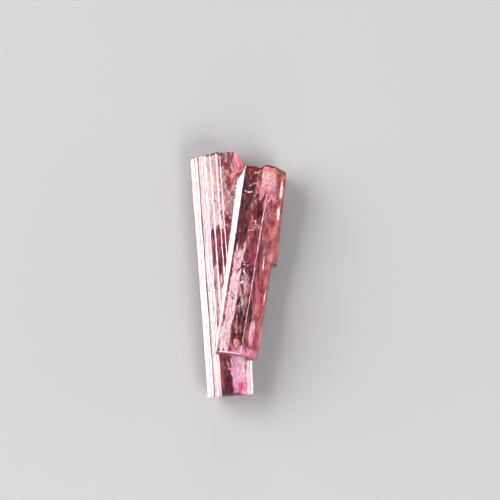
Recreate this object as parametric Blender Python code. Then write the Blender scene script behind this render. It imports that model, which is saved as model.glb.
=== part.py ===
"""Three tourmaline crystals grown together side by side, lying down as one stone.

Each crystal is a bulging three-sided prism. Its outline across the long axis has flat faces, and grooves
run along them from one broken end to the other. The long crystal lies flat. The broad one crosses over its
foot and comes down beside its head. A slim one is grown into the broad one's right flank, beside its head.

The frame has +Y along the stone, from the foot to the head, +X across it and +Z up. The origin is the
middle of the box round the stone, at the bottom. All sizes below are in millimetres.
"""

import math
import random
from collections import namedtuple

import bmesh
import bpy
from mathutils import Matrix, Vector, geometry, noise

MM = 0.001  # metres in a millimetre

# One corner of an outline, and the face that runs from it to the next corner: how far across and up the
# corner is at the foot, how many grooves the face has, how deep they are, how far across and up the corner
# moves between the foot and the head, and how much it rises where the steps of the front begin.
Corner = namedtuple(
    "Corner", "across up grooves depth drift_across drift_up lift", defaults=(0.0, 0.0, 0.0)
)

# One plane that limits an end: how far along the axis it lies at the outline's zero, and how much further
# along it is for each millimetre across and each millimetre up.
Plane = namedtuple("Plane", "along per_across per_up")

# lean turns the crystal to +X and rise lifts its head, both in degrees. rough is how far the breaks at the
# two ends stray from their planes.
Crystal = namedtuple("Crystal", "name foot lean rise outline foot_planes head_planes rough seed")

LONG = Crystal(
    name="long_crystal",
    foot=(-1.33, -19.8, -0.02),
    lean=-4.1,
    rise=0.0,
    outline=(
        Corner(-1.90, 0.00, 2, 0.14),
        Corner(-0.80, 0.00, 0, 0.00),
        Corner(0.80, 0.00, 2, 0.14),
        Corner(1.90, 0.00, 5, 0.09, 0.50),
        Corner(3.72, 3.00, 1, 0.05, 1.15),
        Corner(3.70, 4.30, 2, 0.02, 1.15),
        Corner(2.70, 5.15, 3, 0.03, 0.90, 0.20),
        Corner(1.06, 5.07, 0, 0.00, lift=0.35),
        Corner(0.94, 5.06, 0, 0.00, lift=0.26),
        Corner(0.44, 5.04, 0, 0.00, lift=0.27),
        Corner(0.30, 5.03, 0, 0.00, lift=0.15),
        Corner(-0.50, 4.99, 0, 0.00, lift=0.16),
        Corner(-0.66, 4.98, 2, 0.02, lift=0.03),
        Corner(-1.35, 4.95, 4, 0.05),
        Corner(-2.60, 4.30, 4, 0.05, -0.14),
        Corner(-3.62, 3.35, 1, 0.03, -0.24),
        Corner(-3.72, 2.60, 5, 0.09, -0.24),
    ),
    foot_planes=(Plane(0.45, 0.0, -0.14),),
    head_planes=(
        Plane(40.35, 0.13, 0.0),
        Plane(43.4, -0.80, 0.0),
        Plane(50.0, -2.4, 0.0),
        Plane(53.2, -1.2, -2.2),
    ),
    rough=0.20,
    seed=4,
)

BROAD = Crystal(
    name="broad_crystal",
    foot=(-0.10, -13.75, 1.60),
    lean=8.6,
    rise=-3.0,
    outline=(
        Corner(-2.40, 0.00, 2, 0.08),
        Corner(-1.10, 0.00, 0, 0.00),
        Corner(0.40, 0.00, 2, 0.08),
        Corner(1.60, 0.00, 4, 0.09),
        Corner(3.10, 2.90, 1, 0.05, 0.10),
        Corner(2.85, 3.90, 3, 0.06, 0.10),
        Corner(1.90, 4.95, 3, 0.08, 0.10),
        Corner(0.85, 6.02, 1, 0.06, 0.15),
        Corner(0.54, 6.30, 0, 0.00, 0.20),
        Corner(0.46, 6.38, 0, 0.00, 0.20),
        Corner(0.34, 6.31, 3, 0.03, 0.20),
        Corner(-3.22, 6.40, 1, 0.03, -0.27),
        Corner(-3.64, 6.02, 2, 0.06, -0.95, -0.42),
        Corner(-3.75, 3.40, 5, 0.09, -0.85),
    ),
    foot_planes=(Plane(0.05, 0.03, -0.05),),
    head_planes=(Plane(31.30, 0.0, 0.0), Plane(39.4, 2.3, 0.0)),
    rough=0.16,
    seed=7,
)

SLIM = Crystal(
    name="slim_crystal",
    foot=(4.23, 1.50, 0.20),
    lean=6.15,
    rise=3.6,
    outline=(
        Corner(-1.20, 0.00, 1, 0.06),
        Corner(1.00, 0.20, 3, 0.07),
        Corner(1.98, 2.40, 1, 0.05),
        Corner(1.90, 3.40, 2, 0.06),
        Corner(1.32, 4.84, 0, 0.00, 0.36),
        Corner(0.92, 5.18, 3, 0.03, 0.36),
        Corner(-0.30, 5.55, 3, 0.03),
        Corner(-2.10, 5.80, 2, 0.06),
        Corner(-2.10, 2.00, 2, 0.06),
    ),
    foot_planes=(Plane(0.40, 0.0, 0.0),),
    head_planes=(Plane(16.75, 0.0, 0.0), Plane(18.1, 0.75, 0.0), Plane(18.9, -0.80, -0.40)),
    rough=0.16,
    seed=11,
)

ROWS = 18  # lengthwise divisions of a crystal's sides
FADE = 0.08  # the share of the length over which a groove or a step runs out
THROUGH = 0.6  # the share of the grooves that run the whole length
RUNS_OUT = 0.3, 0.9  # where along the length the others run out
STARTS = 0.1, 0.7  # or where they start
STEPS_BEGIN = 0.18  # the share of the length at which the front's steps begin
GRAIN = 1.3  # the size of the lumps in a broken end
CHIP = 0.48  # the size of the chips on those lumps
CHIP_DEPTH = 0.6  # how deep they are beside the lumps
FOOT_ROUGH = 0.33  # how rough the foot is beside the head
FACET = 0.75  # the size of the small faces of a broken end
FACET_COLUMNS = range(-9, 10)  # enough of them, across and up, to cover any outline
FACET_ROWS = range(12)

PINK_TOURMALINE = (0.64, 0.12, 0.20, 1.0)

# A point of a grooved outline: where it is at the foot, how far it moves by the head, how much it rises
# with the steps, which way is in, how deep it is cut, and the two shares of the length between which the
# cut runs.
Cut = namedtuple("Cut", "place drift lift inward depth start end")


def run_of_groove(dice):
    """The two shares of the length between which a groove runs."""
    if dice.random() < THROUGH:
        return -1.0, 2.0
    if dice.random() < 0.5:
        return -1.0, dice.uniform(*RUNS_OUT)
    return dice.uniform(*STARTS), 2.0


def grooved_outline(crystal):
    """The crystal's outline as a ring of Cut points: grooves on each face, and ridges between them."""
    dice = random.Random(crystal.seed)
    ring = []
    for corner, following in zip(crystal.outline, crystal.outline[1:] + crystal.outline[:1]):
        begin, finish = Vector(corner[:2]), Vector(following[:2])
        drift, final_drift = Vector(corner[4:6]), Vector(following[4:6])
        inward = Vector((begin.y - finish.y, finish.x - begin.x)).normalized()
        ring.append(Cut(begin, drift, corner.lift, inward, 0.0, -1.0, 2.0))
        steps = 2 * corner.grooves
        for step in range(1, steps):
            share = (step + dice.uniform(-0.3, 0.3)) / steps
            depth = corner.depth * dice.uniform(0.5, 1.0) if step % 2 else 0.0
            place, moved = begin.lerp(finish, share), drift.lerp(final_drift, share)
            lift = corner.lift + (following.lift - corner.lift) * share
            ring.append(Cut(place, moved, lift, inward, depth, *run_of_groove(dice)))
    return ring


def innermost(planes, place, keep):
    """How far along the axis the innermost of some planes is at one place, and how much it slants there."""
    found = [(plane.along + plane.per_across * place.x + plane.per_up * place.y, plane) for plane in planes]
    along, plane = keep(found, key=lambda pair: pair[0])
    return along, math.hypot(1.0, plane.per_across, plane.per_up)


def roughness(crystal, place, end):
    """How far a broken end strays from its plane at one place of the outline, always into the crystal."""
    lump = noise.noise(Vector((place.x / GRAIN, place.y / GRAIN, crystal.seed + end)))
    chip = noise.noise(Vector((place.x / CHIP, place.y / CHIP, crystal.seed - end)))
    return crystal.rough * (1.0 + lump + CHIP_DEPTH * chip)


def ends(crystal, place):
    """How far along the axis the crystal begins and ends at one place of its outline."""
    begin, _ = innermost(crystal.foot_planes, place, max)
    finish, slant = innermost(crystal.head_planes, place, min)
    foot_stray, head_stray = roughness(crystal, place, 1.0), roughness(crystal, place, 2.0)
    return begin + FOOT_ROUGH * foot_stray, finish - slant * head_stray


def placed(crystal, place, along):
    """A point of the crystal in the stone's frame, in metres."""
    lean, rise = math.radians(crystal.lean), math.radians(crystal.rise)
    turn = Matrix.Rotation(-lean, 3, "Z") @ Matrix.Rotation(rise, 3, "X")
    return (turn @ Vector((place.x, along, place.y)) + Vector(crystal.foot)) * MM


def fade_of(share, start, end):
    """How much of a groove or a step is there at a share of the length: 0 outside it, 1 well inside it."""
    return min(1.0, max(0.0, (share - start) / FADE)) * min(1.0, max(0.0, (end - share) / FADE))


def outline_at(ring, share):
    """The grooved outline at a share of the crystal's length."""
    places = []
    for cut in ring:
        raised = Vector((0.0, cut.lift * fade_of(share, STEPS_BEGIN, 2.0)))
        cut_in = cut.inward * cut.depth * fade_of(share, cut.start, cut.end)
        places.append(cut.place + cut.drift * share + raised + cut_in)
    return places


def is_inside(place, rim):
    """Whether a place is inside the rim, from how often a line to its right crosses it."""
    crossings = 0
    for a, b in zip(rim, rim[1:] + rim[:1]):
        if (a.y > place.y) != (b.y > place.y):
            crossings += place.x < a.x + (b.x - a.x) * (place.y - a.y) / (b.y - a.y)
    return crossings % 2 == 1


def facet_corners(rim, seed):
    """Scattered places inside the rim, where the small faces of a broken end meet."""
    dice = random.Random(seed)
    found = []
    for column in FACET_COLUMNS:
        for row in FACET_ROWS:
            place = Vector((column + dice.uniform(-0.4, 0.4), row + dice.uniform(-0.4, 0.4))) * FACET
            if is_inside(place, rim) and min((place - other).length for other in rim) > FACET / 3:
                found.append(place)
    return found


def add_break(shape, crystal, rim, rim_places, end):
    """Closes one end of the sides with small faces between the rim and scattered corners."""
    corners = facet_corners(rim_places, crystal.seed + end)
    verts = rim + [shape.verts.new(placed(crystal, place, ends(crystal, place)[end])) for place in corners]
    whole = [list(range(len(rim)))]
    faces = geometry.delaunay_2d_cdt(rim_places + corners, [], whole, 1, 1e-7)[2]
    for face in faces:
        shape.faces.new([verts[n] for n in face])


def crystal_mesh(crystal):
    """The crystal as a closed mesh: rows of faces along its sides, and a break at each end."""
    ring = grooved_outline(crystal)
    shape = bmesh.new()
    rows = []
    for n in range(ROWS + 1):
        share = n / ROWS
        row = []
        for place in outline_at(ring, share):
            begin, finish = ends(crystal, place)
            row.append(shape.verts.new(placed(crystal, place, begin + (finish - begin) * share)))
        rows.append(row)
    for row, following in zip(rows, rows[1:]):
        for n in range(len(row)):
            shape.faces.new((row[n - 1], row[n], following[n], following[n - 1]))
    add_break(shape, crystal, rows[0], outline_at(ring, 0.0), 0)
    add_break(shape, crystal, rows[-1], outline_at(ring, 1.0), 1)
    bmesh.ops.recalc_face_normals(shape, faces=shape.faces)
    mesh = bpy.data.meshes.new(crystal.name)
    shape.to_mesh(mesh)
    shape.free()
    return mesh


def joined(crystals):
    """One mesh of all the crystals, where the later ones are grown into the first."""
    stone = bpy.data.objects.new("stone_before_joining", crystal_mesh(crystals[0]))
    bpy.context.scene.collection.objects.link(stone)
    for crystal in crystals[1:]:
        neighbour = bpy.data.objects.new(crystal.name, crystal_mesh(crystal))
        neighbour.hide_render = True
        neighbour.display_type = "WIRE"
        bpy.context.scene.collection.objects.link(neighbour)
        union = stone.modifiers.new(crystal.name, "BOOLEAN")
        union.operation = "UNION"
        union.object = neighbour
    bpy.context.view_layer.update()
    mesh = bpy.data.meshes.new_from_object(stone.evaluated_get(bpy.context.evaluated_depsgraph_get()))
    bpy.data.objects.remove(stone)
    return mesh


def cut_flat_below(mesh):
    """Takes off what lies under the surface it rests on, and centres the stone on the origin."""
    shape = bmesh.new()
    shape.from_mesh(mesh)
    parts = list(shape.verts) + list(shape.edges) + list(shape.faces)
    bmesh.ops.bisect_plane(shape, geom=parts, plane_co=(0, 0, 0), plane_no=(0, 0, -1), clear_outer=True)
    bmesh.ops.holes_fill(shape, edges=[edge for edge in shape.edges if edge.is_boundary], sides=0)
    bmesh.ops.triangulate(shape, faces=shape.faces)
    bmesh.ops.recalc_face_normals(shape, faces=shape.faces)
    for axis in (0, 1):
        places = [v.co[axis] for v in shape.verts]
        middle = (min(places) + max(places)) / 2
        for v in shape.verts:
            v.co[axis] -= middle
    shape.to_mesh(mesh)
    shape.free()


def pink_tourmaline():
    """See-through pink stone with a glassy surface."""
    material = bpy.data.materials.new("pink_tourmaline")
    material.use_nodes = True
    surface = material.node_tree.nodes["Principled BSDF"]
    surface.inputs["Base Color"].default_value = PINK_TOURMALINE
    surface.inputs["Metallic"].default_value = 0.0
    surface.inputs["Roughness"].default_value = 0.08
    surface.inputs["IOR"].default_value = 1.63
    surface.inputs["Transmission Weight"].default_value = 0.9
    return material


def main():
    for old in list(bpy.data.objects):
        bpy.data.objects.remove(old)
    mesh = joined((LONG, BROAD, SLIM))
    cut_flat_below(mesh)
    mesh.name = "tourmaline_crystals"
    mesh.materials.clear()
    mesh.materials.append(pink_tourmaline())
    bpy.context.scene.collection.objects.link(bpy.data.objects.new("tourmaline_crystals", mesh))


main()
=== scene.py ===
"""A pink tourmaline stone: clear grooved prisms grown together, with veils, cracks and tubes inside them."""

import math
import random
from collections import namedtuple

import bmesh
import bpy
from mathutils import Euler, Matrix, Vector, geometry, noise


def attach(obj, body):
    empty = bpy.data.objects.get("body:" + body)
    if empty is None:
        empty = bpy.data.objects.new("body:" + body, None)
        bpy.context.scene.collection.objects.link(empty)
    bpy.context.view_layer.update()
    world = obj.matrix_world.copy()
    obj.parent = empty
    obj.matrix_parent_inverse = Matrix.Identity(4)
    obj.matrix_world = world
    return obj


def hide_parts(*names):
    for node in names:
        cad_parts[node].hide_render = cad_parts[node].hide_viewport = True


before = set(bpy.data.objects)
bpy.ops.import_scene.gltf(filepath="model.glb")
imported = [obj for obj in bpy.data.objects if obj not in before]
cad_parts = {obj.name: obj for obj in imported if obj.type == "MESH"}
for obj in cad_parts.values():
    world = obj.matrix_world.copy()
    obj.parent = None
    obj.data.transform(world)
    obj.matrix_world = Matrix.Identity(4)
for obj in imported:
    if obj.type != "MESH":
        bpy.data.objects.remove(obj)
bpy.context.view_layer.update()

MM = 0.001  # metres in a millimetre
STONE_MIDDLE = (-0.108, 0.404)  # where the middle of the stone lies, counted from the crystals' own zero

# --- The crystals' shapes ------------------------------------------------------------------------------

# Lengths are in millimetres, except where a comment says metres.

BEFORE, BEYOND = -1.0, 2.0  # shares of the length so far outside it that nothing fades out at the ends
STEPS = ((0.18, BEYOND),)  # the shares of the length between which the front's steps run

# One corner of an outline, and the face that runs from it to the next corner: how far across and up the
# corner is at the foot, how many grooves the face has, how deep they are, how far across and up the corner
# moves between the foot and the head, how much it is lifted and on which shares of the length, and how
# satiny the face is, from 0 for glassy to 1 for finely lined all over.
Corner = namedtuple(
    "Corner",
    "across up grooves depth drift_across drift_up lift lifted satin",
    defaults=(0.0, 0.0, 0.0, STEPS, 0.15),
)

# One plane that limits an end: how far along the axis it lies at the outline's zero, and how much further
# along it is for each millimetre across and each millimetre up.
Plane = namedtuple("Plane", "along per_across per_up")

# lean turns the crystal to +X and rise lifts its head, both in degrees. rough is how far the breaks at the
# two ends stray from their planes, swell how far the faces sink and swell along the crystal, and rounding how
# much the edge round its foot is worn down.
Crystal = namedtuple(
    "Crystal", "name foot lean rise outline foot_planes head_planes rough swell rounding seed"
)

LONG = Crystal(
    name="long_crystal",
    foot=(-1.33, -19.8, -0.02),
    lean=-4.1,
    rise=0.0,
    outline=(
        Corner(-1.90, 0.00, 2, 0.14, satin=1.0),
        Corner(-0.80, 0.00, 0, 0.00, satin=1.0),
        Corner(0.80, 0.00, 2, 0.14, satin=1.0),
        Corner(1.90, 0.00, 5, 0.09, 0.50, satin=1.0),
        Corner(3.72, 3.00, 1, 0.05, 1.15),
        Corner(3.70, 4.30, 2, 0.02, 1.15, satin=0.0),
        Corner(2.70, 5.15, 3, 0.03, 0.90, 0.20),
        Corner(1.06, 5.07, 0, 0.00, lift=0.35),
        Corner(0.94, 5.06, 0, 0.00, lift=0.26),
        Corner(0.44, 5.04, 0, 0.00, lift=0.27),
        Corner(0.30, 5.03, 0, 0.00, lift=0.15),
        Corner(-0.50, 4.99, 0, 0.00, lift=0.16),
        Corner(-0.66, 4.98, 2, 0.02, lift=0.03, satin=0.5),
        Corner(-1.35, 4.95, 5, 0.06, satin=0.8),
        Corner(-2.60, 4.28, 1, 0.06, -0.14, satin=0.3),
        Corner(-3.62, 3.42, 1, 0.03, -0.24, satin=0.3),
        Corner(-3.72, 2.60, 5, 0.09, -0.24, satin=1.0),
    ),
    foot_planes=(Plane(0.45, 0.0, -0.14),),
    head_planes=(
        Plane(40.35, 0.13, 0.0),
        Plane(43.4, -0.80, 0.0),
        Plane(50.0, -2.4, 0.0),
        Plane(53.2, -1.2, -2.2),
    ),
    rough=0.20,
    swell=0.015,
    rounding=0.0,
    seed=4,
)

BROAD = Crystal(
    name="broad_crystal",
    foot=(-0.10, -13.75, 1.60),
    lean=8.6,
    rise=-3.0,
    outline=(
        Corner(-2.40, 0.00, 2, 0.08, satin=1.0),
        Corner(-1.10, 0.00, 0, 0.00, satin=1.0),
        Corner(0.40, 0.00, 2, 0.08, satin=1.0),
        Corner(1.60, 0.00, 4, 0.09, satin=1.0),
        Corner(3.10, 2.90, 1, 0.05, 0.10),
        Corner(2.85, 3.90, 3, 0.07, 0.10, satin=0.0),
        Corner(1.90, 4.95, 3, 0.09, 0.10, satin=0.0),
        Corner(0.85, 6.02, 1, 0.06, 0.15, satin=0.0),
        Corner(0.49, 6.33, 0, 0.00, 0.22, -0.02),
        Corner(0.46, 6.36, 0, 0.00, 0.20),
        Corner(0.41, 6.33, 3, 0.03, 0.18, -0.01),
        Corner(-3.22, 6.40, 1, 0.03, -0.27, satin=0.4),
        Corner(-3.64, 6.02, 2, 0.06, -0.95, -0.42, satin=0.8),
        Corner(-3.75, 3.40, 5, 0.09, -0.85, satin=1.0),
    ),
    foot_planes=(Plane(0.05, 0.03, -0.05),),
    head_planes=(Plane(31.30, 0.0, 0.0), Plane(39.4, 2.3, 0.0)),
    rough=0.16,
    swell=0.03,
    rounding=0.15,
    seed=7,
)

SLIM = Crystal(
    name="slim_crystal",
    foot=(4.23, 1.50, 0.20),
    lean=6.15,
    rise=3.6,
    outline=(
        Corner(-1.20, 0.00, 1, 0.06, satin=1.0),
        Corner(1.00, 0.20, 3, 0.07, satin=1.0),
        Corner(1.98, 2.40, 1, 0.05),
        Corner(1.90, 3.40, 2, 0.06),
        Corner(1.32, 4.72, 0, 0.00, 0.36, lift=0.12, lifted=((0.45, 0.66), (0.70, 0.94))),
        Corner(0.92, 5.18, 3, 0.03, 0.36),
        Corner(-0.30, 5.55, 3, 0.03),
        Corner(-2.10, 5.80, 2, 0.06),
        Corner(-2.10, 2.00, 2, 0.06),
    ),
    foot_planes=(Plane(0.40, 0.0, 0.0),),
    head_planes=(Plane(16.75, 0.0, 0.0), Plane(18.1, 0.75, 0.0), Plane(18.9, -0.80, -0.40)),
    rough=0.16,
    swell=0.05,
    rounding=0.0,
    seed=11,
)

CRYSTALS = (LONG, BROAD, SLIM)

ROWS = 44  # lengthwise divisions of a crystal's sides
FADE = 0.08  # the share of the length over which a groove runs out
THROUGH = 0.6  # the share of the grooves that run the whole length
STOPS, STARTS = (0.3, 0.9), (0.1, 0.7)  # the shares of the length between which the others stop or start
GROOVE_STRAY = 0.3  # how far a groove strays from its even place, as a share of their spacing
SHALLOWEST = 0.5  # the share of a face's depth that its shallowest groove has
FINE = 0.13  # how far apart the points are that fine growth lines may run through
FINE_STRAY = 0.35  # how far such a point strays, as a share of FINE
FINE_DEPTH = 0.010, 0.036  # how deep the deepest of them are on a glassy and on a satiny face
FINE_RARITY = 5  # the power that leaves most of the fine lines much shallower than the deepest
SWELLS = 0.9, 7.0  # how many swells there are in a millimetre round a crystal, and along all of it
GRAIN = 1.3  # the size of the lumps in a broken end
CHIP_FINENESS, CHIP_SHARE = 2.7, 0.6  # how much finer the chips on the lumps are, and how high
GRIT, GRIT_FINENESS = 0.06, 3.1  # how high the grit on a break is, and how many grains to the millimetre
FOOT_ROUGHNESS, FOOT_GRIT = 3, 0.4  # a foot has a third of the head's roughness, and this share of its grit
FACET = 0.30  # the size of the small faces of a broken end
FACET_STRAY = 0.4  # how far a corner of them strays, as a share of FACET
FACET_MARGIN = FACET / 3  # the least distance between such a corner and the rim
REACH, HEIGHT = 6, 8  # no outline goes further across or up than these
BREAK_UV = 30.0  # how far to the side the breaks lie in the UV map, clear of the crystal's sides

# A point of a grooved outline: where it is at the foot, how far it moves by the head, how much it is lifted
# and where, which way is in, how deep it is cut, the two shares of the length between which the cut runs, how
# satiny the stone is there and how much it swells.
Cut = namedtuple("Cut", "place drift lift lifted inward depth start end satin swell")


def run_of_groove(dice):
    """The two shares of the length between which a groove runs."""
    if dice.random() < THROUGH:
        return BEFORE, BEYOND
    if dice.random() < 0.5:
        return BEFORE, dice.uniform(*STOPS)
    return dice.uniform(*STARTS), BEYOND


def coarse_outline(crystal):
    """The crystal's outline as a ring of Cut points. Each face has its grooves, with ridges between them."""
    dice = random.Random(crystal.seed)
    ring = []
    for corner, following in zip(crystal.outline, crystal.outline[1:] + crystal.outline[:1]):
        begin, finish = Vector((corner.across, corner.up)), Vector((following.across, following.up))
        drift = Vector((corner.drift_across, corner.drift_up))
        final_drift = Vector((following.drift_across, following.drift_up))
        inward = Vector((begin.y - finish.y, finish.x - begin.x)).normalized()
        surface = corner.satin, crystal.swell
        ring.append(Cut(begin, drift, corner.lift, corner.lifted, inward, 0.0, BEFORE, BEYOND, *surface))
        steps = 2 * corner.grooves
        for step in range(1, steps):
            share = (step + dice.uniform(-GROOVE_STRAY, GROOVE_STRAY)) / steps
            depth = corner.depth * dice.uniform(SHALLOWEST, 1.0) if step % 2 else 0.0
            place, moved = begin.lerp(finish, share), drift.lerp(final_drift, share)
            lift = corner.lift + (following.lift - corner.lift) * share
            run = run_of_groove(dice)
            ring.append(Cut(place, moved, lift, corner.lifted, inward, depth, *run, *surface))
    return ring


def grooved_outline(crystal):
    """The coarse outline with fine growth lines between its grooves. Each of these is a plain tuple: the Cut
    points before and after it, its share of the way between them, its depth and its run."""
    ring = coarse_outline(crystal)
    dice = random.Random(crystal.seed + 100)
    fine = []
    for cut, following in zip(ring, ring[1:] + ring[:1]):
        fine.append(cut)
        steps = int((following.place - cut.place).length / FINE)
        for step in range(1, steps):
            share = (step + dice.uniform(-FINE_STRAY, FINE_STRAY)) / steps
            deepest = FINE_DEPTH[0] + (FINE_DEPTH[1] - FINE_DEPTH[0]) * cut.satin
            depth = deepest * dice.random() ** FINE_RARITY
            fine.append((cut, following, share, depth, *run_of_groove(dice)))
    return fine


def fade_of(share, start, end):
    """How much of a groove or a step there is at a share of the length: 0 outside it, 1 well inside it."""
    return min(1.0, max(0.0, (share - start) / FADE)) * min(1.0, max(0.0, (end - share) / FADE))


def cut_at(cut, share):
    """Where a point of the outline is at a share of the crystal's length."""
    raised = Vector((0.0, cut.lift * max(fade_of(share, start, end) for start, end in cut.lifted)))
    waves = Vector((cut.place.x * SWELLS[0], cut.place.y * SWELLS[0], share * SWELLS[1]))
    sunk = cut.swell * (0.5 + 0.5 * noise.noise(waves))
    depth = cut.depth * fade_of(share, cut.start, cut.end) + sunk
    return cut.place + cut.drift * share + raised + cut.inward * depth


def outline_at(ring, share):
    """The grooved outline at a share of the crystal's length."""
    places = []
    for cut in ring:
        if isinstance(cut, Cut):
            places.append(cut_at(cut, share))
            continue
        before, after, between, depth, start, end = cut
        place = cut_at(before, share).lerp(cut_at(after, share), between)
        places.append(place + before.inward * depth * fade_of(share, start, end))
    return places


def innermost(planes, place, keep):
    """How far along the axis the innermost of some planes is at one place, and how much it slants there. keep
    is max at the foot and min at the head."""
    found = [(plane.along + plane.per_across * place.x + plane.per_up * place.y, plane) for plane in planes]
    along, plane = keep(found, key=lambda pair: pair[0])
    return along, math.hypot(1.0, plane.per_across, plane.per_up)


def roughness(crystal, place, end):
    """How far a broken end strays from its planes at one place of the outline, always into the crystal."""
    lump = noise.noise(Vector((place.x / GRAIN, place.y / GRAIN, crystal.seed + end)))
    chips = Vector((place.x * CHIP_FINENESS / GRAIN, place.y * CHIP_FINENESS / GRAIN, crystal.seed - end))
    return crystal.rough * (1.0 + lump + CHIP_SHARE * noise.noise(chips))


def ends(crystal, place):
    """How far along the axis the crystal begins and ends at one place of its outline."""
    begin, _ = innermost(crystal.foot_planes, place, max)
    finish, slant = innermost(crystal.head_planes, place, min)
    grains = Vector((place.x * GRIT_FINENESS, place.y * GRIT_FINENESS, crystal.seed + 5.0))
    grit = GRIT * (1.0 + noise.noise(grains))
    return (
        begin + roughness(crystal, place, 1.0) / FOOT_ROUGHNESS + grit * FOOT_GRIT,
        finish - (roughness(crystal, place, 2.0) + grit) * slant,
    )


def placed(crystal, place, along):
    """A point of the crystal in the stone's frame, in metres."""
    lean, rise = math.radians(crystal.lean), math.radians(crystal.rise)
    turn = Matrix.Rotation(-lean, 3, "Z") @ Matrix.Rotation(rise, 3, "X")
    turned = turn @ Vector((place.x, along, place.y))
    return (turned + Vector(crystal.foot) - Vector((*STONE_MIDDLE, 0))) * MM


def is_inside(place, rim):
    """Whether a place is inside the rim, from how often a line to its right crosses it."""
    crossings = 0
    for a, b in zip(rim, rim[1:] + rim[:1]):
        if (a.y > place.y) != (b.y > place.y):
            crossings += place.x < a.x + (b.x - a.x) * (place.y - a.y) / (b.y - a.y)
    return crossings % 2 == 1


def facet_corners(rim, seed):
    """Scattered places inside the rim, where the small faces of a broken end meet."""
    dice = random.Random(seed)
    found = []
    for column in range(int(-REACH / FACET), int(REACH / FACET)):
        for row in range(int(HEIGHT / FACET)):
            stray = dice.uniform(-FACET_STRAY, FACET_STRAY), dice.uniform(-FACET_STRAY, FACET_STRAY)
            place = Vector((column + stray[0], row + stray[1])) * FACET
            if is_inside(place, rim) and min((place - other).length for other in rim) > FACET_MARGIN:
                found.append(place)
    return found


def add_break(shape, crystal, rim, rim_places, end):
    """Closes one end of the sides with small faces between the rim and scattered corners."""
    corners = facet_corners(rim_places, crystal.seed + end)
    verts = rim + [shape.verts.new(placed(crystal, place, ends(crystal, place)[end])) for place in corners]
    whole = [list(range(len(rim)))]
    # 1 keeps the faces that are inside the rim, and places nearer to each other than 1e-7 count as one.
    faces = geometry.delaunay_2d_cdt(rim_places + corners, [], whole, 1, 1e-7)[2]
    girth = shape.loops.layers.uv.verify()
    broken = shape.faces.layers.float["broken"]
    for face in faces:
        made = shape.faces.new([verts[n] for n in face])
        made[broken] = 1.0
        for loop, n in zip(made.loops, face):
            place = (rim_places + corners)[n]
            loop[girth].uv = (place.x + BREAK_UV, place.y)


def crystal_mesh(crystal):
    """The crystal as a closed mesh. Its UVs are the millimetres round it and along it. Where the edge round
    the foot is worn, the mesh begins with a smaller rim there."""
    ring = grooved_outline(crystal)
    shape = bmesh.new()
    girth = shape.loops.layers.uv.verify()
    satin = shape.faces.layers.float.new("satin")
    shape.faces.layers.float.new("broken")
    rows = []
    levels = [n / ROWS for n in range(ROWS + 1)]
    places = outline_at(ring, 0.0)
    if crystal.rounding:
        middle = Vector((0.0, max(place.y for place in places) / 2))
        places = [middle + (place - middle) * (1.0 - crystal.rounding / middle.y) for place in places]
        rows.append([shape.verts.new(placed(crystal, place, ends(crystal, place)[0])) for place in places])
        levels[0] = crystal.rounding / crystal.head_planes[0].along
        levels.insert(0, 0.0)
    foot_rim = places
    for share in levels[len(rows):]:
        row = []
        for place in outline_at(ring, share):
            begin, finish = ends(crystal, place)
            row.append(shape.verts.new(placed(crystal, place, begin + (finish - begin) * share)))
        rows.append(row)
    around = [0.0]
    for place, following in zip(places, places[1:] + places[:1]):
        around.append(around[-1] + (following - place).length)
    length = crystal.head_planes[0].along
    for r, (row, following) in enumerate(zip(rows, rows[1:])):
        for n in range(len(row)):
            after = (n + 1) % len(row)
            made = shape.faces.new((row[n], row[after], following[after], following[n]))
            made[satin] = (ring[n] if isinstance(ring[n], Cut) else ring[n][0]).satin
            corners = ((n, r), (n + 1, r), (n + 1, r + 1), (n, r + 1))
            for loop, (step, level) in zip(made.loops, corners):
                loop[girth].uv = (around[step], levels[level] * length)
    add_break(shape, crystal, rows[0], foot_rim, 0)
    add_break(shape, crystal, rows[-1], outline_at(ring, 1.0), 1)
    bmesh.ops.recalc_face_normals(shape, faces=shape.faces)
    mesh = bpy.data.meshes.new(crystal.name)
    shape.to_mesh(mesh)
    shape.free()
    return mesh


def joined(name, crystals):
    """One object of all the crystals, where the later ones are grown into the first."""
    stone = bpy.data.objects.new(name, crystal_mesh(crystals[0]))
    bpy.context.scene.collection.objects.link(stone)
    neighbours = []
    for crystal in crystals[1:]:
        neighbour = bpy.data.objects.new(crystal.name, crystal_mesh(crystal))
        bpy.context.scene.collection.objects.link(neighbour)
        neighbours.append(neighbour)
        union = stone.modifiers.new(crystal.name, "BOOLEAN")
        union.operation = "UNION"
        union.solver = "MANIFOLD"
        union.object = neighbour
    bpy.context.view_layer.update()
    mesh = bpy.data.meshes.new_from_object(stone.evaluated_get(bpy.context.evaluated_depsgraph_get()))
    stone.modifiers.clear()
    stone.data = mesh
    for neighbour in neighbours:
        bpy.data.objects.remove(neighbour)
    return stone


def cut_flat_below(mesh):
    """Takes off what lies under the surface that the stone rests on."""
    shape = bmesh.new()
    shape.from_mesh(mesh)
    parts = list(shape.verts) + list(shape.edges) + list(shape.faces)
    bmesh.ops.bisect_plane(shape, geom=parts, plane_co=(0, 0, 0), plane_no=(0, 0, -1), clear_outer=True)
    bmesh.ops.holes_fill(shape, edges=[edge for edge in shape.edges if edge.is_boundary], sides=0)
    bmesh.ops.triangulate(shape, faces=shape.faces)
    bmesh.ops.recalc_face_normals(shape, faces=shape.faces)
    shape.to_mesh(mesh)
    shape.free()


# --- The flaws inside the stone, with painted shade and a painted reflection among them ----------------

# A cloud of small closed flakes under the front of a crystal: what they look like, how many, between which
# distances across and along, how deep under the front, the most that a flake measures across and along, how
# coarse the patches are in which they gather, and how bare the cloud is between them, from -1 for not at all
# to 1 for all bare.
Cloud = namedtuple("Cloud", "name look crystal flakes across along depth size patch bare seed")

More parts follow.
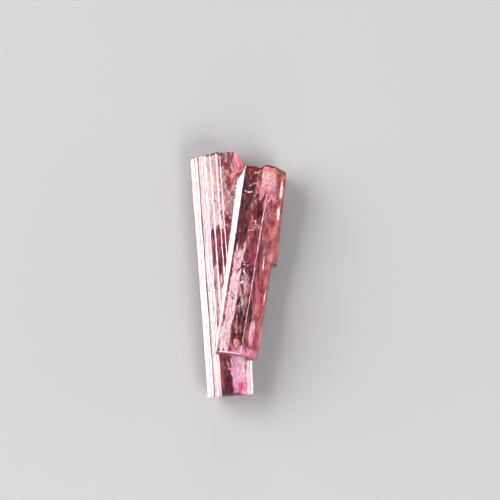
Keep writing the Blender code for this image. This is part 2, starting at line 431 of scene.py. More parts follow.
CLOUDS = (
    Cloud("broad_milky_veil", "pale", BROAD, 7800, across=(-3.05, -1.70), along=(0.2, 13.0),
          depth=(0.10, 0.8), size=(0.20, 0.24), patch=0.7, bare=-0.45, seed=21),
    Cloud("broad_milky_specks", "rose", BROAD, 240, across=(-3.05, -1.60), along=(0.4, 13.0),
          depth=(0.10, 0.22), size=(0.16, 0.22), patch=0.5, bare=0.1, seed=47),
    Cloud("broad_middle_mottles", "pale", BROAD, 700, across=(-1.75, 0.25), along=(6.5, 13.0),
          depth=(0.10, 1.1), size=(0.15, 0.20), patch=0.7, bare=0.1, seed=48),
    Cloud("broad_upper_veil", "pale", BROAD, 1300, across=(-3.00, -1.50), along=(12.0, 17.5),
          depth=(0.12, 1.1), size=(0.20, 0.24), patch=0.6, bare=0.0, seed=22),
    # Painted shade: dark streaks under the broad crystal's upper left front, where the left lamp's light
    # comes through.
    Cloud("broad_upper_shade", "dark", BROAD, 700, across=(-2.95, -1.60), along=(18.5, 29.5),
          depth=(0.12, 0.9), size=(0.14, 0.90), patch=0.9, bare=-0.3, seed=35),
    # Painted shade: a dark curtain under the broad crystal's left bevel that keeps out the left lamp's light.
    Cloud("broad_side_shade", "dark", BROAD, 1300, across=(-4.40, -2.90), along=(17.0, 30.8),
          depth=(0.35, 2.2), size=(0.25, 0.90), patch=1.2, bare=-0.5, seed=39),
    # Painted shade: dark streaks that stand in for a dark ground seen through the window near the broad
    # crystal's foot.
    Cloud("broad_window_shade", "dark", BROAD, 800, across=(-1.55, 0.35), along=(2.4, 9.0),
          depth=(0.50, 2.5), size=(0.11, 1.30), patch=0.9, bare=-0.2, seed=44),
    Cloud("broad_flank_streaks", "deep", BROAD, 3200, across=(0.85, 2.85), along=(1.5, 29.0),
          depth=(0.12, 0.9), size=(0.12, 1.00), patch=0.9, bare=-0.35, seed=23),
    Cloud("broad_edge_streaks", "salmon", BROAD, 800, across=(2.25, 2.95), along=(2.0, 16.0),
          depth=(0.10, 0.6), size=(0.09, 1.10), patch=0.9, bare=-0.1, seed=36),
    Cloud("broad_foot_veil", "magenta", BROAD, 1900, across=(-1.60, 2.70), along=(-0.1, 1.7),
          depth=(0.10, 1.2), size=(0.22, 0.22), patch=0.7, bare=-0.2, seed=31),
    Cloud("broad_body_veil", "rose", BROAD, 4800, across=(-3.00, 2.40), along=(1.0, 30.0),
          depth=(0.8, 5.2), size=(0.15, 1.70), patch=2.2, bare=-0.1, seed=32),
    Cloud("broad_head_stain", "rust", BROAD, 520, across=(-2.90, -0.30), along=(28.6, 31.2),
          depth=(0.12, 0.9), size=(0.18, 0.30), patch=0.8, bare=-0.1, seed=40),
    Cloud("broad_beside_block", "frost", BROAD, 900, across=(-1.35, 0.30), along=(26.4, 30.8),
          depth=(0.08, 0.5), size=(0.20, 0.22), patch=0.6, bare=-0.2, seed=41),
    Cloud("long_head_veil", "pale", LONG, 5000, across=(-1.40, 0.75), along=(28.0, 40.6),
          depth=(0.12, 0.8), size=(0.20, 0.22), patch=0.6, bare=-0.35, seed=24),
    Cloud("long_shoulder_veil", "rose", LONG, 4200, across=(0.75, 4.40), along=(24.0, 39.8),
          depth=(0.20, 1.4), size=(0.24, 0.30), patch=0.8, bare=-0.25, seed=25),
    Cloud("long_shoulder_mottles", "pale", LONG, 1700, across=(0.75, 4.20), along=(29.0, 37.2),
          depth=(0.15, 0.8), size=(0.22, 0.26), patch=0.9, bare=-0.05, seed=42),
    Cloud("long_left_veil", "rose", LONG, 400, across=(-3.45, -1.40), along=(0.5, 39.0),
          depth=(0.10, 0.4), size=(0.06, 1.60), patch=0.8, bare=-0.2, seed=26),
    Cloud("long_left_film", "grey", LONG, 900, across=(-3.45, -1.30), along=(0.5, 24.0),
          depth=(0.05, 0.3), size=(0.08, 1.60), patch=0.8, bare=-0.2, seed=51),
    Cloud("long_waist_veil", "pale", LONG, 1500, across=(-1.30, 0.70), along=(8.0, 21.0),
          depth=(0.12, 0.8), size=(0.14, 0.50), patch=0.7, bare=-0.2, seed=37),
    # Painted shade: dark streaks that stand in for a dark ground seen through the window at the long
    # crystal's foot.
    Cloud("long_foot_shade", "dark", LONG, 700, across=(-0.80, 0.85), along=(-0.2, 4.6),
          depth=(0.40, 2.5), size=(0.16, 0.90), patch=0.9, bare=-0.2, seed=43),
    Cloud("long_foot_streaks", "magenta", LONG, 1700, across=(0.60, 2.70), along=(0.2, 4.5),
          depth=(0.12, 1.2), size=(0.10, 0.80), patch=0.7, bare=-0.25, seed=27),
    Cloud("long_foot_veil", "pale", LONG, 3200, across=(0.60, 2.70), along=(1.6, 7.5),
          depth=(0.12, 0.9), size=(0.18, 0.30), patch=0.6, bare=-0.4, seed=34),
    Cloud("long_body_veil", "rose", LONG, 3200, across=(-2.80, 3.00), along=(0.5, 39.0),
          depth=(0.9, 4.4), size=(0.15, 1.70), patch=2.0, bare=-0.1, seed=33),
    Cloud("slim_head_block", "frost", SLIM, 4200, across=(-2.10, 0.55), along=(11.0, 16.6),
          depth=(0.08, 0.6), size=(0.20, 0.22), patch=0.7, bare=-0.5, seed=28),
    Cloud("slim_head_film", "peach", SLIM, 420, across=(-2.05, 0.60), along=(15.4, 16.7),
          depth=(0.08, 0.35), size=(0.20, 0.20), patch=0.7, bare=-0.5, seed=46),
    Cloud("slim_streaks", "rose", SLIM, 2600, across=(-1.20, 1.75), along=(0.6, 13.5),
          depth=(0.12, 0.9), size=(0.12, 0.80), patch=0.8, bare=-0.3, seed=29),
    Cloud("slim_edge_streaks", "salmon", SLIM, 1000, across=(0.20, 1.80), along=(0.6, 12.5),
          depth=(0.10, 0.8), size=(0.10, 0.90), patch=0.8, bare=-0.3, seed=45),
    Cloud("slim_rim_streaks", "salmon", SLIM, 700, across=(1.20, 1.98), along=(0.4, 16.0),
          depth=(0.05, 0.5), size=(0.10, 0.90), patch=0.8, bare=-0.4, seed=49),
    Cloud("slim_low_streaks", "salmon", SLIM, 1500, across=(0.70, 1.90), along=(0.4, 9.0),
          depth=(0.05, 0.3), size=(0.12, 0.80), patch=0.8, bare=-0.2, seed=50),
    Cloud("slim_stain", "stain", SLIM, 500, across=(0.40, 1.80), along=(13.0, 16.4),
          depth=(0.10, 0.7), size=(0.20, 0.25), patch=0.7, bare=-0.1, seed=38),
)

FLAKE_SIDES = 5
FLAKE_THICKNESS = 0.25  # of its width
LEAST, MOST = 0.25, 0.5  # the shares of a cloud's flake size that a flake reaches from its middle
STREAKY = 3  # flakes longer than this many widths are streaks, which lie along the crystal
STREAK_TILT, FLAKE_TILT = 0.08, 1.2  # the most that streaks and flakes turn off the axis, in radians
ROLL = 1.5  # the most that they turn about the axis, in radians
WANDER = 0.25, 1.6  # how far the edges of a cloud wander across and along
WANDER_WAVES = 0.7, 1.7  # how many waves to the millimetre they make, going along and going across
PATCH_WAVES = 0.6  # how many patches there are along the crystal for each one across it
EDGE_BLUR = 0.2  # how far a patch of flakes thins out into the bare stone
COLUMN = 0.15  # how far apart the places across a crystal are at which its thickness is known
CLEARANCE = 0.04  # the stone kept between a flake and the outside, before fine growth lines are cut in it
BREAK_CLEARANCE = 0.16  # and between it and the break at the head, whose small faces cut off high places


def thickness_table(crystal):
    """The heights of the crystal's back and front, by row along it and by column across it."""
    ring = coarse_outline(crystal)
    table = {}
    for row in range(ROWS + 1):
        outline = outline_at(ring, row / ROWS)
        for column in range(int(-REACH / COLUMN), int(REACH / COLUMN)):
            across = column * COLUMN
            heights = [
                a.y + (b.y - a.y) * (across - a.x) / (b.x - a.x)
                for a, b in zip(outline, outline[1:] + outline[:1])
                if (a.x > across) != (b.x > across)
            ]
            if heights:
                table[row, column] = min(heights), max(heights)
    return table


THICKNESS = {crystal.name: thickness_table(crystal) for crystal in CRYSTALS}


def place_under_front(crystal, across, along, depth, aside, ahead):
    """A place under the crystal's front for a flake that reaches so far aside and ahead of its middle, or
    None where the stone has no room for it. It is kept deeper where the front slopes."""
    row = round(along / crystal.head_planes[0].along * ROWS)
    column = math.floor(across / COLUMN)
    near = [THICKNESS[crystal.name].get((row, column + step)) for step in (0, 1)]
    if None in near:
        return None
    (back, front), (next_back, next_front) = near
    slope = next_front - front
    slant = math.hypot(1.0, slope / COLUMN)
    up = front + slope * (across / COLUMN - column) - max(depth, aside + CLEARANCE) * slant
    reached = [Vector((across + x, up + y)) for x in (-aside, aside) for y in (-aside, aside)]
    begins, finishes = zip(*(ends(crystal, place) for place in reached))
    lengthways = max(begins) + ahead + CLEARANCE < along < min(finishes) - ahead - BREAK_CLEARANCE
    fits = lengthways and up > max(back, next_back) + aside + CLEARANCE
    return Vector((across, along, up)) if fits else None


def flake_places(cloud):
    """Where the flakes of a cloud lie in their crystal: across, along and up."""
    dice = random.Random(cloud.seed)
    reach = [length * MOST for length in cloud.size]
    places = []
    while len(places) < cloud.flakes:
        across, along = dice.uniform(*cloud.across), dice.uniform(*cloud.along)
        depth = dice.uniform(*cloud.depth)
        patch = noise.noise(Vector((across, along * PATCH_WAVES, depth + cloud.seed)) / cloud.patch)
        if patch + dice.uniform(-EDGE_BLUR, EDGE_BLUR) < cloud.bare:
            continue
        sideways = WANDER[0] * noise.noise(Vector((along * WANDER_WAVES[0], cloud.seed, 0.5)))
        lengthways = WANDER[1] * noise.noise(Vector((across * WANDER_WAVES[1], cloud.seed, 9.5)))
        place = place_under_front(cloud.crystal, across + sideways, along + lengthways, depth, *reach)
        if place:
            places.append(place)
    return places


def add_flake(verts, faces, crystal, middle, turn, size):
    """Adds one closed flake, a plate that thins out towards its rim. size is how far it reaches each way."""
    first = len(verts)
    corners = [Vector((0, 0, FLAKE_THICKNESS * size[0])), Vector((0, 0, -FLAKE_THICKNESS * size[0]))]
    for n in range(FLAKE_SIDES):
        angle = n * math.tau / FLAKE_SIDES
        corners.append(Vector((math.cos(angle) * size[0], math.sin(angle) * size[1], 0.0)))
    for corner in corners:
        place = middle + turn @ corner
        verts.append(placed(crystal, Vector((place.x, place.z)), place.y))
    for n in range(FLAKE_SIDES):
        a, b = first + 2 + n, first + 2 + (n + 1) % FLAKE_SIDES
        faces += [(first, a, b), (first + 1, b, a)]


def sealed_piece(name, verts, faces, material):
    """Adds an object inside the stone, with its own material, as a part of the same body."""
    mesh = bpy.data.meshes.new(name)
    mesh.from_pydata(verts, [], faces)
    mesh.materials.append(material)
    piece = bpy.data.objects.new(name, mesh)
    bpy.context.scene.collection.objects.link(piece)
    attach(piece, "root")


def build_cloud(cloud, material):
    """All the flakes of a cloud as one object."""
    dice = random.Random(cloud.seed + 50)
    verts, faces = [], []
    tilt = STREAK_TILT if cloud.size[1] > STREAKY * cloud.size[0] else FLAKE_TILT
    for middle in flake_places(cloud):
        turn = Euler([dice.uniform(-most, most) for most in (tilt, ROLL, tilt)]).to_matrix()
        share = dice.uniform(LEAST, MOST)
        size = cloud.size[0] * share, cloud.size[1] * share
        add_flake(verts, faces, cloud.crystal, middle, turn, size)
    sealed_piece(cloud.name, verts, faces, material)


# A single crack, tube or spot, or a patch of painted shade or painted reflection: a chain of shards, which
# are flakes turned any way, along a line of places across and along a crystal and about depth under its
# front. width is how far the shards stray from the line at the middle of it, and size about what a shard
# measures.
Crack = namedtuple("Crack", "name look crystal line depth width shards size seed")

CRACKS = (
    Crack("head_crack_high", "open", BROAD, ((-1.97, 30.1), (-1.45, 30.3), (-0.95, 30.0)),
          depth=0.25, width=0.12, shards=40, size=0.20, seed=41),
    Crack("head_crack_mid", "open", BROAD, ((-2.30, 27.8), (-1.80, 28.3), (-1.05, 28.4)),
          depth=0.25, width=0.16, shards=60, size=0.18, seed=42),
    Crack("head_crack_low", "open", BROAD, ((-3.00, 26.9), (-2.30, 26.7), (-1.70, 26.9)),
          depth=0.20, width=0.10, shards=60, size=0.18, seed=43),
    Crack("head_crack_end", "open", BROAD, ((-1.70, 26.9), (-1.30, 26.2), (-0.95, 25.9)),
          depth=0.30, width=0.10, shards=22, size=0.16, seed=44),
    Crack("sparkles", "open", BROAD, ((-1.19, 25.5), (-1.00, 24.9), (-1.65, 24.1)),
          depth=0.35, width=0.25, shards=12, size=0.26, seed=45),
    Crack("salmon_spindle", "salmon", BROAD, ((-1.15, 22.9), (-1.25, 21.2), (-1.08, 17.7)),
          depth=0.45, width=0.30, shards=240, size=0.26, seed=46),
    Crack("lilac_sparkles", "lilac", BROAD, ((-1.00, 22.2), (-0.40, 21.2), (0.35, 21.2)),
          depth=0.40, width=0.45, shards=60, size=0.22, seed=47),
    Crack("rose_crack", "open", BROAD, ((-1.48, 20.3), (-1.00, 20.5), (-0.53, 20.5)),
          depth=0.35, width=0.05, shards=26, size=0.16, seed=48),
    Crack("dark_pocket", "dark", BROAD, ((-1.40, 14.8), (-0.60, 13.8), (0.20, 13.1)),
          depth=0.45, width=0.85, shards=230, size=0.22, seed=49),
    Crack("pocket_spot", "open", BROAD, ((-1.15, 13.7), (-1.05, 13.3)),
          depth=0.20, width=0.10, shards=12, size=0.24, seed=50),
    Crack("pocket_specks", "open", BROAD, ((-1.50, 15.0), (-0.80, 14.3), (-0.30, 13.4)),
          depth=0.15, width=0.50, shards=22, size=0.18, seed=79),
    Crack("pale_loop", "pale", BROAD, ((-1.55, 11.3), (-0.95, 11.8), (-0.45, 11.0), (-0.45, 9.6)),
          depth=0.35, width=0.30, shards=130, size=0.20, seed=51),
    Crack("loop_side", "pale", BROAD, ((-1.45, 11.1), (-1.35, 10.2), (-1.00, 9.4)),
          depth=0.35, width=0.20, shards=60, size=0.18, seed=52),
    Crack("flask", "open", BROAD, ((-0.75, 8.9), (-0.62, 8.1), (-0.52, 7.5)),
          depth=0.30, width=0.12, shards=36, size=0.22, seed=53),
    Crack("star_arm_low", "open", BROAD, ((-2.60, 7.8), (-2.10, 8.3), (-1.90, 9.0)),
          depth=0.09, width=0.05, shards=110, size=0.13, seed=54),
    Crack("star_arm_side", "open", BROAD, ((-2.10, 8.3), (-1.80, 7.6)),
          depth=0.09, width=0.05, shards=60, size=0.13, seed=55),
    Crack("purple_patch", "dark", BROAD, ((-2.60, 9.8), (-2.30, 9.0), (-2.00, 8.6)),
          depth=0.12, width=0.30, shards=60, size=0.16, seed=56),
    Crack("window_line", "open", BROAD, ((-1.15, 6.2), (-0.95, 4.4), (-0.70, 2.2)),
          depth=0.40, width=0.07, shards=70, size=0.16, seed=57),
    Crack("peach_heart", "peach", BROAD, ((-0.70, 2.0), (-0.50, 1.4), (-0.35, 0.8)),
          depth=0.35, width=0.52, shards=300, size=0.26, seed=58),
    Crack("peach_rim_left", "dark", BROAD, ((-1.40, 2.3), (-1.05, 1.2), (-0.35, 0.3)),
          depth=0.12, width=0.06, shards=150, size=0.13, seed=59),
    Crack("peach_rim_right", "dark", BROAD, ((-1.40, 2.3), (0.15, 2.3), (-0.35, 0.3)),
          depth=0.12, width=0.06, shards=180, size=0.13, seed=60),
    Crack("foot_crack", "open", BROAD, ((-1.25, 1.3), (0.00, 0.9), (0.90, 0.5)),
          depth=0.25, width=0.10, shards=70, size=0.20, seed=61),
    Crack("magenta_spot", "dark", BROAD, ((-1.80, 0.9), (-1.50, 0.6), (-1.20, 0.3)),
          depth=0.20, width=0.18, shards=40, size=0.22, seed=62),
    Crack("ridge_tube", "hollow", BROAD, ((0.76, 20.0), (0.92, 18.3), (0.85, 16.3), (1.15, 13.2)),
          depth=0.08, width=0.05, shards=650, size=0.16, seed=63),
    Crack("ridge_tube_right", "hollow", BROAD, ((1.00, 19.2), (1.15, 17.2), (1.10, 15.2), (1.35, 12.6)),
          depth=0.08, width=0.04, shards=360, size=0.13, seed=64),
    Crack("ridge_flecks", "hollow", BROAD, ((1.04, 11.2), (0.96, 10.2), (1.00, 9.0)),
          depth=0.08, width=0.08, shards=170, size=0.17, seed=65),
    Crack("flank_crack", "dark", BROAD, ((1.35, 11.7), (2.00, 10.9), (2.60, 11.2), (2.88, 12.0)),
          depth=0.30, width=0.12, shards=110, size=0.24, seed=66),
    # Painted shade: a dark block right of the ridge that stands in for a dark ground seen through the flank.
    Crack("flank_shade", "hollow", BROAD, ((0.74, 8.7), (0.86, 7.0), (1.02, 5.2)),
          depth=0.15, width=0.24, shards=300, size=0.22, seed=67),
    Crack("flank_line", "open", BROAD, ((1.80, 8.4), (1.98, 7.4), (2.12, 6.6)),
          depth=0.25, width=0.05, shards=40, size=0.16, seed=68),
    # Painted reflection: a pale lilac patch with white streaks under the broad crystal's right flank stands
    # for a bright reflection there.
    Crack("painted_reflection_patch", "lilac", BROAD, ((1.58, 5.8), (1.72, 4.0), (1.76, 1.7)),
          depth=0.12, width=0.34, shards=640, size=0.20, seed=69),
    Crack("painted_reflection_streak", "open", BROAD, ((1.26, 5.4), (1.34, 3.6), (1.40, 2.0)),
          depth=0.08, width=0.09, shards=260, size=0.16, seed=80),
    Crack("long_crack_mid", "open", LONG, ((-1.82, 28.5), (-1.10, 28.6), (-0.36, 28.3)),
          depth=0.15, width=0.08, shards=70, size=0.20, seed=70),
    Crack("long_crack_high", "open", LONG, ((-1.29, 34.0), (-0.40, 34.2), (0.67, 33.7)),
          depth=0.20, width=0.14, shards=90, size=0.22, seed=71),
    Crack("long_spot", "open", LONG, ((1.30, 27.9), (1.50, 27.6)),
          depth=0.15, width=0.08, shards=10, size=0.26, seed=72),
    Crack("mottle_high", "open", LONG, ((-0.80, 37.0), (-0.45, 36.0), (-0.25, 34.6)),
          depth=0.20, width=0.28, shards=80, size=0.28, seed=73),
    Crack("mottle_low", "open", LONG, ((-1.30, 34.8), (-0.90, 33.6), (-0.52, 32.9)),
          depth=0.20, width=0.30, shards=70, size=0.28, seed=74),
    Crack("long_foot_line", "open", LONG, ((1.50, 6.6), (1.46, 4.0), (1.15, 0.3)),
          depth=0.10, width=0.05, shards=260, size=0.14, seed=75),
    Crack("long_foot_spot", "open", LONG, ((1.42, 4.3), (1.46, 3.6)),
          depth=0.10, width=0.12, shards=60, size=0.16, seed=76),
    Crack("window_cloud", "lilac", LONG, ((-0.10, 5.4), (0.40, 4.0), (0.75, 2.9)),
          depth=0.50, width=0.26, shards=70, size=0.26, seed=77),
    Crack("window_specks", "rose", LONG, ((-0.90, 5.8), (-0.40, 4.2), (0.00, 2.8)),
          depth=0.50, width=0.32, shards=26, size=0.20, seed=78),
)

WIDTH_AT_ENDS = 0.3  # the share of a crack's width that is left at its two ends
DEPTH_STRAY = 0.7, 1.3  # the shares of a crack's depth between which its shards lie
SHARD_REACH = 0.3, 0.7  # the shares of a crack's size that its shards reach from their middles
SHARD_LENGTH = 0.5, 1.0  # how long a shard is, as a share of its width


def build_crack(crack, material):
    """The shards of one crack as one object."""
    dice = random.Random(crack.seed)
    line = [Vector(point) for point in crack.line]
    verts, faces = [], []
    for _ in range(crack.shards):
        way = dice.random()
        first = min(int(way * (len(line) - 1)), len(line) - 2)
        spot = line[first].lerp(line[first + 1], way * (len(line) - 1) - first)
        stray = crack.width * (WIDTH_AT_ENDS + (1.0 - WIDTH_AT_ENDS) * math.sin(way * math.pi))
        spot += Vector((dice.uniform(-stray, stray), dice.uniform(-stray, stray)))
        depth = crack.depth * dice.uniform(*DEPTH_STRAY)
        turn = Euler([dice.uniform(-ROLL, ROLL) for _ in range(3)]).to_matrix()
        reach = crack.size * dice.uniform(*SHARD_REACH)
        middle = place_under_front(crack.crystal, spot.x, spot.y, depth, reach, reach)
        if middle:
            size = reach, reach * dice.uniform(*SHARD_LENGTH)
            add_flake(verts, faces, crack.crystal, middle, turn, size)
    sealed_piece(crack.name, verts, faces, material)


# --- Materials -----------------------------------------------------------------------------------------


def colour(code):
    """The linear colour of an sRGB hex code."""
    parts = [int(code[n:n + 2], 16) / 255 for n in (0, 2, 4)]
    return (*[p / 12.92 if p <= 0.04045 else ((p + 0.055) / 1.055) ** 2.4 for p in parts], 1.0)


def add(tree, kind, inputs=None, **settings):
    """Adds a node. Its inputs, by name or number, are plain values or the outputs of other nodes."""
    made = tree.nodes.new(kind)
    for name, value in settings.items():
        setattr(made, name, value)
    for socket, value in (inputs or {}).items():
        if isinstance(value, bpy.types.NodeSocket):
            tree.links.new(value, made.inputs[socket])
        else:
            made.inputs[socket].default_value = value
    return made


def new_material(name):
    """An empty material, with its tree and its output node."""
    material = bpy.data.materials.new(name)
    material.use_nodes = True
    material.node_tree.nodes.clear()
    return material, material.node_tree, add(material.node_tree, "ShaderNodeOutputMaterial")


LINE_SPACING, LINE_LENGTH = 0.05, 4.0  # how far apart growth lines are, and how long
BREAK_DULLNESS = 2.4  # how much duller a break is than a face with growth lines all over
GLASSY, DULL = 0.03, 0.28  # the roughness of a bare face and of a break
LINE_RELIEF, LINE_HEIGHT = 0.12, 0.00004  # how strongly growth lines stand out, and how high, in metres
STONE_COLOUR = "E7839A"  # what is left of white light that has gone through some millimetres of the stone
STONE_DENSITY = 230.0  # how fast the stone soaks up the rest, to the metre
DRIFT_ENDS = -0.020, 0.020  # the places along the stone between which its colour drifts, in metres


def pink_tourmaline():
    """Elbaite, a clear boron silicate (IOR 1.62 to 1.64), as it grew. It soaks up green and blue light, so
    thick places are deep rose and thin ones pale. Growth lines blur its faces a little, and its breaks, which
    snapped like glass, are duller."""
    material, tree, output = new_material("pink_tourmaline")
    girth = add(tree, "ShaderNodeUVMap")
    satin = add(tree, "ShaderNodeAttribute", attribute_name="satin")
    broken = add(tree, "ShaderNodeAttribute", attribute_name="broken")
    # The UVs are the millimetres round the crystal and along it, so this noise makes lines along it.
    fineness = 1.0 / LINE_SPACING, 1.0 / LINE_LENGTH, 0.0
    stretched = add(tree, "ShaderNodeVectorMath", {0: girth.outputs[0], 1: fineness}, operation="MULTIPLY")
    lines = add(tree, "ShaderNodeTexNoise", {"Vector": stretched.outputs[0], "Scale": 1.0, "Detail": 3.0})
    # A bare face is glassy, one with lines is duller along them, and a break is the dullest.
    streaks = add(tree, "ShaderNodeMapRange", {0: lines.outputs[0], 1: 0.35, 2: 0.65, 3: 0.3, 4: 1.0})
    satiny = {0: satin.outputs["Fac"], 1: streaks.outputs[0]}
    lined = add(tree, "ShaderNodeMath", satiny, operation="MULTIPLY")
    dull = add(tree, "ShaderNodeMath", {0: broken.outputs["Fac"], 1: BREAK_DULLNESS}, operation="MULTIPLY")
    duller = add(tree, "ShaderNodeMath", {0: lined.outputs[0], 1: dull.outputs[0]}, operation="MAXIMUM")
    dullness = {0: duller.outputs[0], 1: 0.0, 2: BREAK_DULLNESS, 3: GLASSY, 4: DULL}
    roughness = add(tree, "ShaderNodeMapRange", dullness)
    # The colour drifts along the stone, from magenta at its foot to salmon at its head, where the breaks are
    # stained darker.
    place = add(tree, "ShaderNodeTexCoord")
    parts = add(tree, "ShaderNodeSeparateXYZ", {0: place.outputs["Object"]})
    length = add(tree, "ShaderNodeMapRange", {0: parts.outputs["Y"], 1: DRIFT_ENDS[0], 2: DRIFT_ENDS[1]})
    drift = add(tree, "ShaderNodeValToRGB", {0: length.outputs[0]})
    for spot, code in ((0.12, "FDF1F3"), (0.80, "FDF1F0")):
        drift.color_ramp.elements.new(spot).color = colour(code)
    drift.color_ramp.elements[0].color = colour("F8D2E8")
    drift.color_ramp.elements[3].color = colour("FADCCB")
    stain = add(tree, "ShaderNodeValToRGB", {0: length.outputs[0]})
    stain.color_ramp.elements[0].color = colour("F9DCE8")
    stain.color_ramp.elements[1].color = colour("D08894")
    mixed = {0: broken.outputs["Fac"], 6: drift.outputs[0], 7: stain.outputs[0]}
    tint = add(tree, "ShaderNodeMix", mixed, data_type="RGBA")
    # A break cuts through the growth lines, so it has no relief of its own.
    fading = {0: broken.outputs["Fac"], 1: 0.0, 2: 1.0, 3: LINE_RELIEF, 4: 0.0}
    raised = add(tree, "ShaderNodeMapRange", fading)
    relief = add(tree, "ShaderNodeBump", {
        "Height": lines.outputs[0],
        "Strength": raised.outputs[0],
        "Distance": LINE_HEIGHT,
    })
    surface = add(tree, "ShaderNodeBsdfPrincipled", {
        "Base Color": tint.outputs[2],
        "Roughness": roughness.outputs[0],
        "IOR": 1.63,
        "Transmission Weight": 1.0,
        "Normal": relief.outputs[0],
    })
    soaked = add(tree, "ShaderNodeVolumeAbsorption", {
        "Color": colour(STONE_COLOUR),
        "Density": STONE_DENSITY,
    })
    tree.links.new(surface.outputs[0], output.inputs["Surface"])
    tree.links.new(soaked.outputs[0], output.inputs["Volume"])
    return material


CLOUDINESS = 700.0  # waves to the metre, so a flaw's tint changes over a millimetre or two


def flaw(name, deep, light, glassy):
    """The walls of thin hollows inside the stone. They grew or tore rough, and hold liquid (IOR 1.33 to 1.5),
    air or a film of grains. So they scatter the light or stain it, and the eye sees a haze, a glint or a
    shadow in the clear stone. Some of the looks are also used as painted shade or a painted reflection.
    The tint lies between deep and light. glassy is how much light goes through."""
    material, tree, output = new_material(name)
    place = add(tree, "ShaderNodeTexCoord")
    waves = {"Vector": place.outputs["Object"], "Scale": CLOUDINESS, "Detail": 3.0}
    cloudy = add(tree, "ShaderNodeTexNoise", waves)
    tint = add(tree, "ShaderNodeValToRGB", {0: cloudy.outputs[0]})
    tint.color_ramp.elements[0].color = colour(deep)
    tint.color_ramp.elements[1].color = colour(light)
    tint.color_ramp.elements[0].position = 0.35
    tint.color_ramp.elements[1].position = 0.65
    surface = add(tree, "ShaderNodeBsdfPrincipled", {
        "Base Color": tint.outputs[0],
        "Roughness": 0.4,
        "IOR": 1.45,
        "Transmission Weight": glassy,
    })
    tree.links.new(surface.outputs[0], output.inputs["Surface"])
    return material


def flaws():
    """The looks of the flaws, by what fills them and how the stone round them tints them. The dark and hollow
    looks also serve as painted shade, and the lilac and open ones as a painted reflection.
    """
    return {
        # Healed cracks: sheets of tiny liquid-filled hollows, milky where they lie close.
        "pale": flaw("milky_veil", "FFE2EC", "FFFFFF", 0.05),
        "frost": flaw("frosted_veil", "F5A2BA", "FFEDF0", 0.1),
        "rose": flaw("rose_veil", "C0566E", "F4AEBC", 0.3),
        "deep": flaw("deep_rose_veil", "D83A5A", "FF7C92", 0.2),
        "magenta": flaw("magenta_veil", "EA42A8", "FFD0EA", 0.15),
        # The lilac film is also a painted reflection on the broad crystal's flank.
        "lilac": flaw("lilac_film_and_painted_reflection", "EEA8D0", "FFF0FA", 0.1),
        # Open cracks: air between torn walls, which glints white.
        # The same white also paints the highlights of the painted reflection on the broad crystal's flank.
        "open": flaw("open_crack_and_painted_highlight", "FFE4E8", "FFFFFF", 0.0),
        # Cracks with a film of iron oxide, from salmon to rusty brown.
        "salmon": flaw("iron_stained_crack", "DA5E66", "FFB6AE", 0.2),
        "peach": flaw("peach_film", "E89880", "FFDCC8", 0.2),
        "stain": flaw("limonite_film", "B47A4C", "F4C696", 0.2),
        "rust": flaw("rusty_film", "86321C", "C4603C", 0.2),
        # Films of dark grains, and growth tubes in whose depth the light is lost. Where the stone lies on a
        # pale floor, the dark and hollow ones are also painted shade: they stand in for a dark ground that
        # would be seen through it, and for shade where lamplight would come through.
        "grey": flaw("grey_film", "4E484C", "A09A9C", 0.1),
        "dark": flaw("dark_tubes_and_painted_shade", "3C0C16", "7A2A38", 0.1),
        "hollow": flaw("hollow_tubes_and_painted_shade", "140406", "3A1016", 0.0),
    }


def matt_paper():
    """Studio paper, pressed without gloss, so no lamp is reflected in it and the stone's shadow is soft. Its
    grey is a middle one, which the lamps lift to a pale one."""
    material, tree, output = new_material("studio_paper")
    surface = add(tree, "ShaderNodeBsdfPrincipled", {"Base Color": colour("6C6B6A"), "Roughness": 0.9})
    tree.links.new(surface.outputs[0], output.inputs["Surface"])
    return material


# --- Building ------------------------------------------------------------------------------------------


def build_stone():
    """The clear stone itself, in place of its plain solid."""
    stone = joined("tourmaline_stone", CRYSTALS)
    cut_flat_below(stone.data)
    stone.data.materials.clear()
    stone.data.materials.append(pink_tourmaline())
    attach(stone, "root")
    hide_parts("tourmaline_crystals")


def softbox(name, spot, aim, width, height, glow):
    """A rectangular lamp at a spot, turned to its aim, all in metres. glow is how bright its face is, so a
    larger lamp gives more light."""
    lamp = bpy.data.lights.new(name, "AREA")
    lamp.shape = "RECTANGLE"
    lamp.size, lamp.size_y = width, height
    lamp.energy = glow * math.pi * width * height
    holder = bpy.data.objects.new(name, lamp)
    holder.location = spot
    holder.rotation_euler = (Vector(aim) - Vector(spot)).to_track_quat("-Z", "Y").to_euler()
    holder.visible_camera = False
    bpy.context.scene.collection.objects.link(holder)


FLOOR_REACH = 3.0  # from the floor's middle to its edge, in metres
FLOOR_GAP = 0.00004  # how much lower than the stone the floor lies, in metres, so that their faces don't meet
ROOM_LIGHT = (0.25, 0.25, 0.26, 1.0)


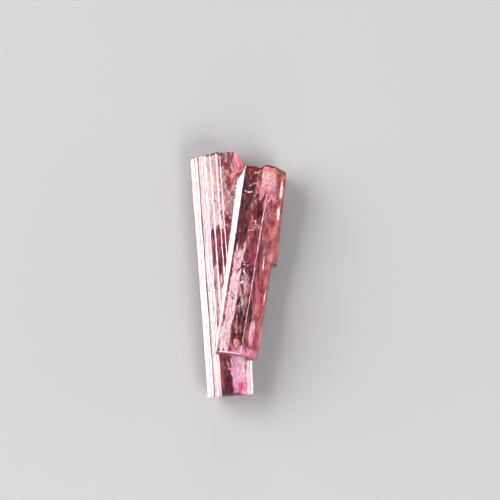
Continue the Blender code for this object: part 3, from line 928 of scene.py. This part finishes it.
def build_studio():
    """A plain floor and soft lamps. The left one lights the faces that slope left, the right one the bevels
    and ridges, and the others fill in from the front, the foot and the head."""
    sheet = bmesh.new()
    bmesh.ops.create_grid(sheet, x_segments=1, y_segments=1, size=FLOOR_REACH)
    mesh = bpy.data.meshes.new("studio_floor")
    sheet.to_mesh(mesh)
    sheet.free()
    mesh.materials.append(matt_paper())
    floor = bpy.data.objects.new("studio_floor", mesh)
    floor.location.z = -FLOOR_GAP
    bpy.context.scene.collection.objects.link(floor)
    softbox("left_softbox", (-0.74, 0.20, 0.45), (0, 0, 0.02), 0.98, 0.98, 16.0)
    softbox("right_softbox", (0.45, 0.04, 0.08), (0, 0, 0.01), 0.36, 0.09, 15.0)
    softbox("fill_softbox", (0.25, -0.40, 0.42), (0, 0, 0.01), 0.32, 0.32, 21.0)
    softbox("foot_softbox", (0.02, -0.50, 0.16), (0, 0, 0.01), 0.40, 0.24, 9.0)
    softbox("head_softbox", (0.05, 0.50, 0.20), (0, 0, 0.01), 0.40, 0.24, 9.0)
    world = bpy.data.worlds.new("dim_room")
    world.use_nodes = True
    world.node_tree.nodes["Background"].inputs["Color"].default_value = ROOM_LIGHT
    bpy.context.scene.world = world


CAMERA_AIM = (1.944, 3.765, 4.0)  # the point that it looks at
CAMERA_DISTANCE = 0.3402  # from there to the camera, in metres
CAMERA_HEIGHT = 78.0  # the angle at which it looks down, in degrees


def build_camera():
    """A long lens that looks down on the stone from a little towards its foot."""
    lens = bpy.data.cameras.new("camera")
    lens.lens = 150.0
    lens.sensor_width = 36.0
    lens.clip_start = 0.01  # this and the next are in metres
    lens.clip_end = 20.0
    camera = bpy.data.objects.new("camera", lens)
    height = math.radians(CAMERA_HEIGHT)
    back = Vector((0, -math.cos(height), math.sin(height)))
    camera.location = Vector(CAMERA_AIM) * MM + back * CAMERA_DISTANCE
    camera.rotation_euler = (math.radians(90.0 - CAMERA_HEIGHT), 0, 0)
    bpy.context.scene.collection.objects.link(camera)
    bpy.context.scene.camera = camera


build_camera()
build_stone()
looks = flaws()
for cloud in CLOUDS:
    build_cloud(cloud, looks[cloud.look])
for crack in CRACKS:
    build_crack(crack, looks[crack.look])
build_studio()
bpy.context.scene.view_settings.view_transform = "Standard"
bpy.context.view_layer.update()
